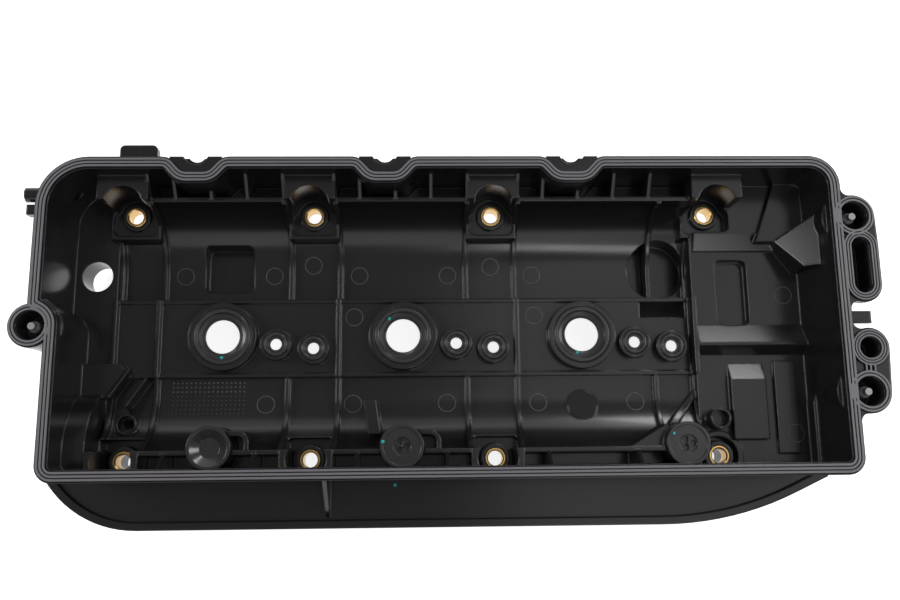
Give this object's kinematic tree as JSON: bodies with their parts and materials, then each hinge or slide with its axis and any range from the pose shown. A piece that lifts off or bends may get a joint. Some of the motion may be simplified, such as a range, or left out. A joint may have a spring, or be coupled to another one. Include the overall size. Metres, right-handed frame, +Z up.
{
  "type": "engine valve cover",
  "caption": "Moulded plastic valve cover of an engine bank, lying open side up, with a ridged rim gasket, injector seals, brass bolt sleeves, capped oil drains and an oil separator tray.",
  "frame": {"origin": "middle of the bounding box at the plane the cover rests on", "axes": "+X along the cylinder bank towards the end ports, +Y away from the separator tray, +Z up, out of the open side that is bolted to the cylinder head"},
  "size_m": [0.452, 0.1994, 0.066],
  "materials": {
    "cover_plastic": "semi-gloss glass-filled moulding",
    "lid_plastic": "satin",
    "gasket_rubber": "satin",
    "seal_rubber": "satin",
    "sleeve_brass": "turned",
    "bolt_steel": "black coated steel",
    "cap_plastic": "satin"
  },
  "bodies": {
    "cover": {"cover_shell": "cover_plastic", "separator_lid": "lid_plastic", "perimeter_gasket": "gasket_rubber", "injector_seal_1": "seal_rubber", "injector_seal_2": "seal_rubber", "injector_seal_3": "seal_rubber", "small_seal_1": "seal_rubber", "small_seal_2": "seal_rubber", "small_seal_3": "seal_rubber", "small_seal_4": "seal_rubber", "small_seal_5": "seal_rubber", "small_seal_6": "seal_rubber", "back_sleeve_1": "sleeve_brass", "front_sleeve_1": "sleeve_brass", "back_sleeve_2": "sleeve_brass", "front_sleeve_2": "sleeve_brass", "back_sleeve_3": "sleeve_brass", "front_sleeve_3": "sleeve_brass", "back_sleeve_4": "sleeve_brass", "front_sleeve_4": "sleeve_brass", "drain_plug": "cap_plastic", "drain_cap_1": "cap_plastic", "umbrella_valve_1": "seal_rubber", "drain_cap_2": "cap_plastic", "umbrella_valve_2": "seal_rubber"},
    "left_bolt": {"left_ear_bolt": "bolt_steel"},
    "back_bolt": {"back_ear_bolt": "bolt_steel"},
    "front_bolt": {"front_ear_bolt": "bolt_steel"}
  },
  "joints": [
    {"name": "left_bolt_turn", "type": "hinge", "parent": "cover", "child": "left_bolt", "pos_m": [-0.2075, 0.00335, 0.051], "axis": [0, 0, 1], "continuous": true},
    {"name": "back_bolt_turn", "type": "hinge", "parent": "cover", "child": "back_bolt", "pos_m": [0.2138, 0.05875, 0.051], "axis": [0, 0, 1], "continuous": true},
    {"name": "front_bolt_turn", "type": "hinge", "parent": "cover", "child": "front_bolt", "pos_m": [0.2138, -0.03295, 0.051], "axis": [0, 0, 1], "continuous": true}
  ]
}
